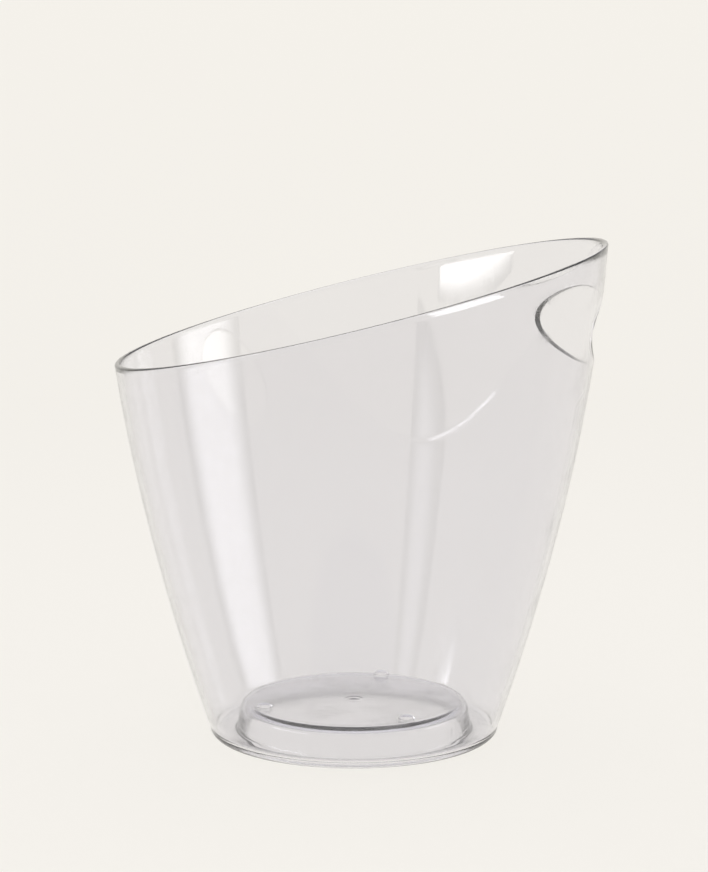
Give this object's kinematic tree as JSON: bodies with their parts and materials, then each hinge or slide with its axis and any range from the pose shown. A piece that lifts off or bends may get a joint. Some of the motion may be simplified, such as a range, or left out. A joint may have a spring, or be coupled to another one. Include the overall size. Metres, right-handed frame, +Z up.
{
  "type": "champagne bucket",
  "caption": "Clear plastic champagne bucket with a round flared body, a slanted mouth, a finger slot under the high side of the rim and a raised floor with bottle pads.",
  "frame": {"origin": "bottom centre of the overall box, at the height of the foot ring; the foot ring's own centre is 3.15 mm towards -X", "axes": "+Z up through the mouth, +X towards the high side of the rim with the finger slot, +Y across"},
  "size_m": [0.2409, 0.242, 0.246],
  "materials": {
    "clear_plastic": "polished clear moulded plastic, fine handling scratches",
    "pad_plastic": "clear soft bumper, glossy dome"
  },
  "bodies": {
    "root": {"bucket_body": "clear_plastic", "floor_pad_1": "pad_plastic", "floor_pad_2": "pad_plastic", "floor_pad_3": "pad_plastic"}
  },
  "joints": []
}
